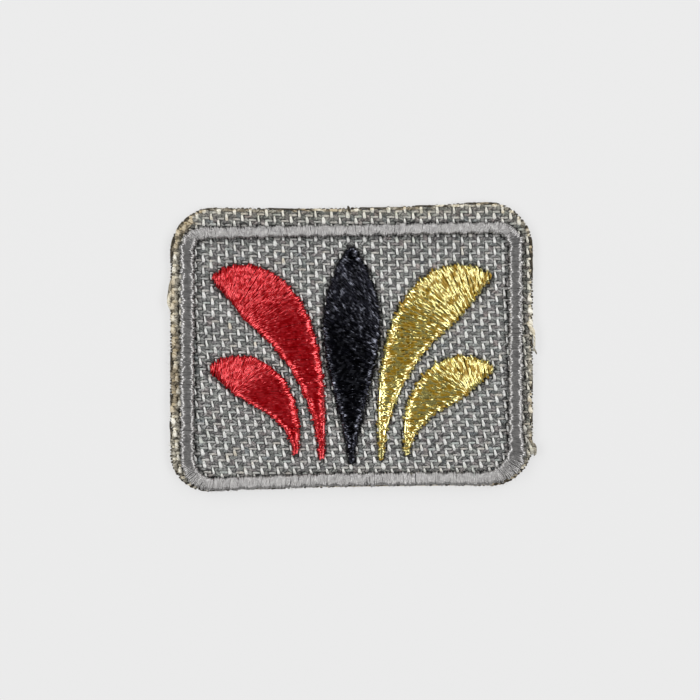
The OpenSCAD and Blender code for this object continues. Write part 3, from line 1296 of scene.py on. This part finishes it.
# Loose ends: yarns that came out of the cut edge, each by a few places along it and its thickness there
looseEnds = {
    "frayedKnob": {"yarn": "light", "singe": 0.46, "flat": 0.9, "path": (
        (27.2, -14.3, 0.8, 0.14), (27.5, -15.0, 0.95, 0.22), (27.8, -15.6, 1.0, 0.32),
        (28.0, -16.05, 1.0, 0.42), (27.95, -16.4, 0.8, 0.34), (27.8, -16.6, 0.6, 0.14),
    )},
    "knobLoop": {"yarn": "grey", "singe": 0.62, "flat": 0.9, "path": (
        (27.7, -14.9, 0.9, 0.16), (28.1, -15.15, 1.1, 0.28), (28.34, -15.6, 1.1, 0.34),
        (28.38, -16.1, 0.95, 0.34), (28.36, -16.5, 0.7, 0.28), (28.26, -16.85, 0.4, 0.1),
    )},
    "pulledLump": {"yarn": "light", "singe": 0.8, "flat": 0.8, "path": (
        (27.2, 3.8, 0.9, 0.16), (27.5, 3.3, 1.05, 0.28), (27.85, 2.8, 1.1, 0.32),
        (28.15, 2.3, 1.0, 0.24), (28.3, 1.8, 0.9, 0.12),
    )},
    "pulledYarn": {"yarn": "light", "singe": 0.55, "flat": 0.8, "path": (
        (27.9, 2.6, 0.9, 0.12), (28.2, 1.9, 0.95, 0.17), (28.3, 1.1, 0.9, 0.19),
        (28.26, 0.4, 0.85, 0.2), (28.2, -0.2, 0.8, 0.18), (28.15, -0.7, 0.7, 0.12),
    )},
    "pulledCurl": {"yarn": "grey", "singe": 0.9, "flat": 1.0, "path": (
        (28.2, -0.2, 0.8, 0.08), (28.36, -0.5, 0.8, 0.12), (28.5, -0.8, 0.7, 0.13),
        (28.6, -1.0, 0.6, 0.1), (28.64, -1.15, 0.5, 0.05),
    )},
    "leftFluff": {"yarn": "grey", "singe": 0.7, "flat": 0.8, "path": (
        (-27.8, 10.6, 0.75, 0.12), (-28.0, 9.6, 0.8, 0.24), (-28.08, 8.6, 0.8, 0.3),
        (-28.15, 7.6, 0.8, 0.34), (-28.15, 6.8, 0.8, 0.34), (-28.0, 6.0, 0.75, 0.22),
        (-27.8, 5.4, 0.7, 0.1),
    )},
    "leftTuft": {"yarn": "light", "singe": 0.65, "flat": 0.8, "path": (
        (-27.9, 8.5, 1.0, 0.1), (-28.2, 7.7, 1.05, 0.2), (-28.3, 6.9, 1.0, 0.24),
        (-28.15, 6.2, 0.95, 0.18), (-27.9, 5.7, 0.85, 0.08),
    )},
    "topFluff": {"yarn": "grey", "singe": 1.0, "flat": 0.9, "path": (
        (-0.2, 20.7, 0.95, 0.12), (-0.35, 21.1, 1.05, 0.22), (-0.45, 21.45, 0.95, 0.22),
        (-0.55, 21.75, 0.7, 0.1),
    )},
    "strayYarn": {"yarn": "light", "singe": 0.1, "flat": 0.9, "path": (
        (18.75, -18.2, 1.3, 0.05), (18.8, -18.6, 1.7, 0.08), (18.95, -19.3, 1.9, 0.09),
        (18.95, -20.0, 1.8, 0.09), (19.05, -20.6, 1.6, 0.08), (19.0, -21.0, 1.2, 0.05),
    )},
}


looseYarn = {
    "ringsEach": 5,  # for each place in its path
    "smoothing": 4,
    "wideDrift": (6, 0.12),
    "highDrift": (6, 0.1),
    "singeDrift": (5, 0.06),
    "mostSinge": 1.2,
    "sides": 8,
    "bakeColumns": 3,
}


def layLooseEnds(yarn, material):
    look = looseYarn
    strands = []
    for end in looseEnds.values():
        if end["yarn"] != yarn:
            continue
        places = np.array(end["path"])
        steps = np.linspace(0, len(places) - 1, look["ringsEach"] * len(places))
        smooth = np.stack([np.interp(steps, np.arange(len(places)), column) for column in places.T], 1)
        for step in range(look["smoothing"]):
            smooth[1:-1] = (smooth[:-2] + smooth[1:-1] * 2 + smooth[2:]) / 4
        count = len(smooth)
        thick = smooth[:, 3]
        strands.append({
            "path": smooth[:, :3],
            "wide": thick * np.exp(drift(count, *look["wideDrift"])),
            "high": thick * end["flat"] * np.exp(drift(count, *look["highDrift"])),
            "singe": np.clip(end["singe"] + drift(count, *look["singeDrift"]), 0, look["mostSinge"]),
            "number": dice.random(),
        })
    return sweepStrands(yarn + "LooseEnds", strands, look["sides"], look["bakeColumns"], material)


# Fuzz: fine wool hairs that stand off the face of the cloth and off its cut edge
fuzz = {
    "faceHairs": 1500,
    "faceLong": (0.5, 1.5),
    "faceLevel": (0.95, 1.08),
    "faceRise": (0.02, 0.2),
    "fromCut": 0.3,
    "edgeHairs": 900,
    "edgeLong": (0.2, 0.7),
    "edgeLevel": (0.25, 1.0),
    "edgeRise": (-0.1, 0.15),
    "edgeSinge": (0.5, 1.0),
    "edgeSpread": 0.9,  # how far hairs at the cut turn aside, in radians
    "edgeRoot": 0.12,  # how far inside the cut they start
    "rings": 5,
    "thick": 0.011,  # half, at the root
    "taper": 0.6,  # lost from root to tip
    "curl": 0.5,
    "kinks": (3, 0.25),
    "arch": (0.6, 1.0),  # how much of a half wave a hair rises over
    "sides": 3,
    "bakeColumns": 40,
}


def hairStrand(start, singe, heading, length, rise):
    count = fuzz["rings"]
    steps = np.linspace(0, 1, count)
    turn = heading + dice.normal(0, fuzz["curl"]) * steps + drift(count, *fuzz["kinks"])
    stride = length / (count - 1)
    flat = np.cumsum(np.stack([np.cos(turn), np.sin(turn)], 1) * stride, axis=0)
    level = start[2] + rise * np.sin(steps * math.pi * dice.uniform(*fuzz["arch"]))
    thick = fuzz["thick"] * (1 - fuzz["taper"] * steps)
    return {
        "path": np.column_stack([start[:2] + flat - flat[0], level]),
        "wide": thick,
        "high": thick,
        "singe": np.full(count, singe),
        "number": dice.random(),
    }


def growFuzz(material):
    strands = []
    places = dice.uniform(clothOutline.min(0), clothOutline.max(0), (fuzz["faceHairs"] * 2, 2))
    bare = (depthUnderStitches(places) < 0) & (depthInside(places, clothOutline) > fuzz["fromCut"])
    for place in places[bare][:fuzz["faceHairs"]]:
        start = (*place, dice.uniform(*fuzz["faceLevel"]))
        heading = dice.uniform(0, 2 * math.pi)
        long = dice.uniform(*fuzz["faceLong"])
        strands.append(hairStrand(start, 0.0, heading, long, dice.uniform(*fuzz["faceRise"])))
    around = np.vstack([clothOutline, clothOutline[:1]])
    length = distanceAlong(around)
    for at in dice.uniform(0, length[-1], fuzz["edgeHairs"]):
        side = min(int(np.searchsorted(length, at)), len(length) - 1)
        way = around[side] - around[side - 1]
        way = way / np.linalg.norm(way)
        place = around[side] - way * (length[side] - at)
        outward = math.atan2(-way[0], way[1])
        root = place - np.array([math.cos(outward), math.sin(outward)]) * fuzz["edgeRoot"]
        start = (*root, dice.uniform(*fuzz["edgeLevel"]))
        singe = dice.uniform(*fuzz["edgeSinge"])
        heading = outward + dice.normal(0, fuzz["edgeSpread"])
        long = dice.uniform(*fuzz["edgeLong"])
        strands.append(hairStrand(start, singe, heading, long, dice.uniform(*fuzz["edgeRise"])))
    return sweepStrands("clothFuzz", strands, fuzz["sides"], fuzz["bakeColumns"], material)


# Build
placeCamera()
buildStudio()
print("studio set")

clothPieces = weaveCloth()
clothCore = makeCore()
print("cloth woven")

threadMaterials = {name: threadMaterial(name, look) for name, look in threadLooks.items()}
borderPiece, borderBack = sewBorder(threadMaterials["border_thread"])
leafPairs = [sewLeaf(leaf, threadMaterials[leaf["slot"]]) for leaf in leaves]
leafPieces = [piece for piece, back in leafPairs]
backPieces = [borderBack] + [back for piece, back in leafPairs]
print("stitches sewn")

for piece in [clothCore] + clothPieces:
    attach(piece, "root")
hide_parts("ground_cloth")
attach(borderPiece, "root")
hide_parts("border_stitching")
for leaf, piece in zip(leaves, leafPieces):
    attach(piece, "root")
    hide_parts(leaf["node"])
for piece, slot in zip(backPieces, ["border_thread"] + [leaf["slot"] for leaf in leaves]):
    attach(piece, "root")

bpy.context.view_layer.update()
triangles = {
    thing.name: sum(len(face.vertices) - 2 for face in thing.data.polygons)
    for thing in bpy.context.scene.objects
    if thing.type == "MESH" and not thing.hide_render
}
print("sizes written", triangles)
